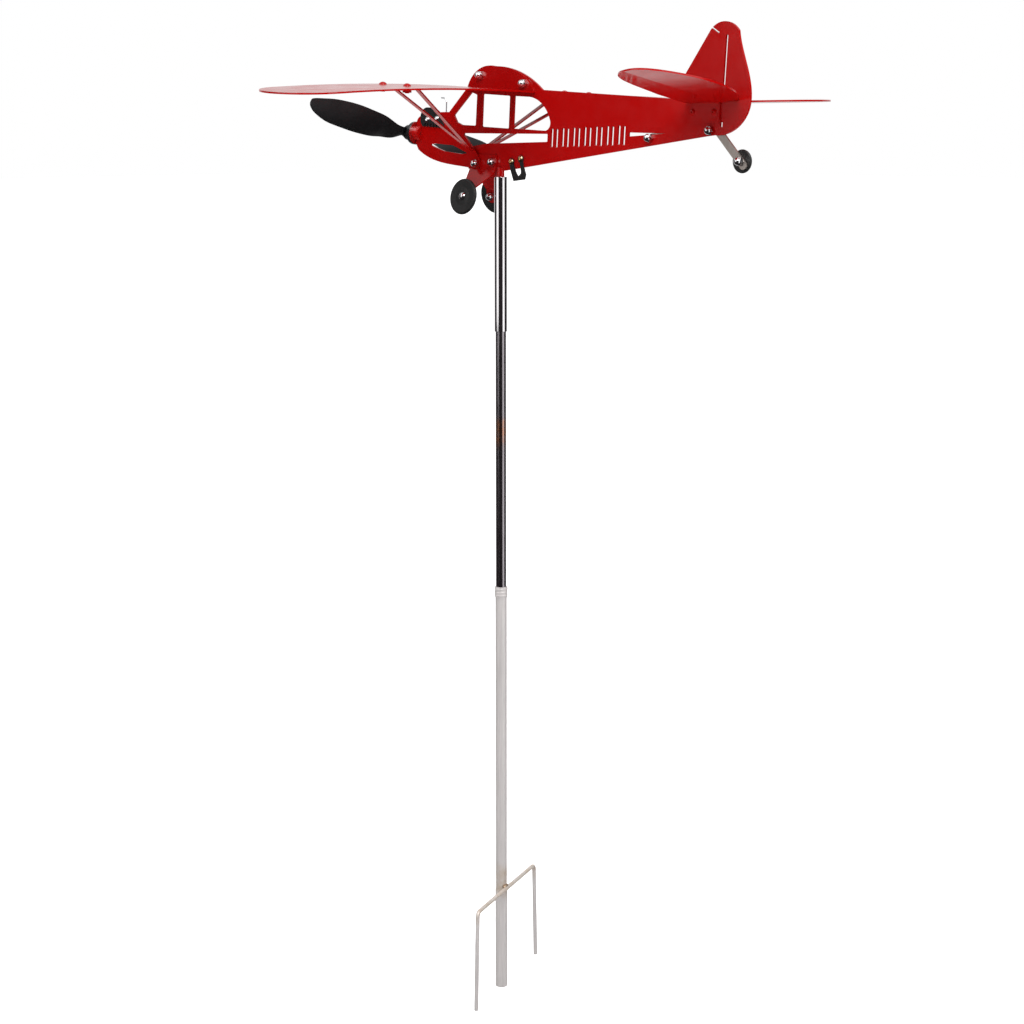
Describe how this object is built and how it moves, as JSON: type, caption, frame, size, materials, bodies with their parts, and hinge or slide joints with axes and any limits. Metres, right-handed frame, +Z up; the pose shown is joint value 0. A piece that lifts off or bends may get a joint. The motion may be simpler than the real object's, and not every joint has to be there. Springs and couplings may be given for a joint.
{
  "type": "whirligig",
  "caption": "Sheet-steel high-wing aeroplane wind spinner with a free-turning propeller, swivelling on a jointed steel pole with a forked ground stake.",
  "frame": {"origin": "on the pole's axis at the top of the ground spike tube, which is ground level", "axes": "+Z up along the pole, -X the way the nose points at rest, -Y to the aeroplane's left (port)"},
  "size_m": [0.4381, 0.532, 0.9262],
  "materials": {
    "red_paint": "gloss powder coat",
    "polished_steel": "mirror polished",
    "dark_steel": "bright drawn tube, dark reflections",
    "satin_steel": "satin",
    "weld_bead": "heat tinted",
    "plated_fasteners": "bright plated",
    "brass_fasteners": "satin",
    "moulded_black": "moulded, slightly glossy",
    "wheel_black": "matte moulded",
    "black_paint": "semi-matte powder coat",
    "bearing_steel": "ground bright",
    "strip_steel": "brushed, unpainted"
  },
  "bodies": {
    "pole": {"ground_spike": "satin_steel", "lower_pole": "satin_steel", "ground_fork": "satin_steel", "fork_weld": "weld_bead", "pole_coupler": "satin_steel", "middle_pole": "dark_steel", "top_sleeve": "polished_steel", "bearing_seat": "bearing_steel", "lower_swivel_bearing": "bearing_steel", "bearing_spacer": "bearing_steel", "upper_swivel_bearing": "bearing_steel", "sleeve_cap": "polished_steel"},
    "airframe": {"swivel_stub": "red_paint", "thrust_washer": "bearing_steel", "swivel_spindle": "bearing_steel", "spindle_clip": "bearing_steel", "fuselage_plate": "red_paint", "left_wing": "red_paint", "right_wing": "red_paint", "wing_bolts": "plated_fasteners", "wing_nuts": "plated_fasteners", "left_strut": "red_paint", "right_strut": "red_paint", "strut_screws": "red_paint", "strut_nuts": "red_paint", "left_stabilizer": "red_paint", "right_stabilizer": "red_paint", "stabilizer_screws": "red_paint", "stabilizer_nuts": "red_paint", "left_gear_leg": "red_paint", "right_gear_leg": "red_paint", "gear_bolts": "plated_fasteners", "gear_nuts": "plated_fasteners", "axle_bolts": "plated_fasteners", "axle_nuts": "plated_fasteners", "tail_strut": "strip_steel", "tail_strut_bolts": "plated_fasteners", "tail_strut_nuts": "plated_fasteners", "tail_axle_bolt": "plated_fasteners", "tail_axle_nut": "plated_fasteners", "boarding_step": "black_paint", "step_screws": "brass_fasteners", "left_engine_plate": "black_paint", "right_engine_plate": "black_paint", "engine_screws": "plated_fasteners", "engine_nuts": "plated_fasteners", "fuel_gauge_wire": "bearing_steel", "nose_boss": "black_paint", "nose_washer": "plated_fasteners", "propeller_axle": "bearing_steel", "rear_washer": "plated_fasteners", "front_washer": "plated_fasteners", "propeller_nut": "plated_fasteners"},
    "propeller": {"propeller": "moulded_black", "rear_propeller_bearing": "bearing_steel", "front_propeller_bearing": "bearing_steel"},
    "left_wheel": {"left_wheel": "wheel_black"},
    "right_wheel": {"right_wheel": "wheel_black"},
    "tail_wheel": {"tail_wheel": "wheel_black"}
  },
  "joints": [
    {"name": "swivel", "type": "hinge", "parent": "pole", "child": "airframe", "pos_m": [0, 0, 0.7], "axis": [0, 0, 1], "continuous": true},
    {"name": "propeller_spin", "type": "hinge", "parent": "airframe", "child": "propeller", "pos_m": [-0.12336, 0, 0.73399], "axis": [-0.9981, 0, 0.061], "continuous": true},
    {"name": "left_wheel_spin", "type": "hinge", "parent": "airframe", "child": "left_wheel", "pos_m": [-0.02904, -0.02, 0.67571], "axis": [0.0111, -0.9833, 0.1819], "continuous": true},
    {"name": "right_wheel_spin", "type": "hinge", "parent": "airframe", "child": "right_wheel", "pos_m": [-0.02904, 0.02, 0.67571], "axis": [0.0111, 0.9833, 0.1819], "continuous": true},
    {"name": "tail_wheel_spin", "type": "hinge", "parent": "airframe", "child": "tail_wheel", "pos_m": [0.27969, 0.0044, 0.71095], "axis": [0, 1, 0], "continuous": true}
  ]
}
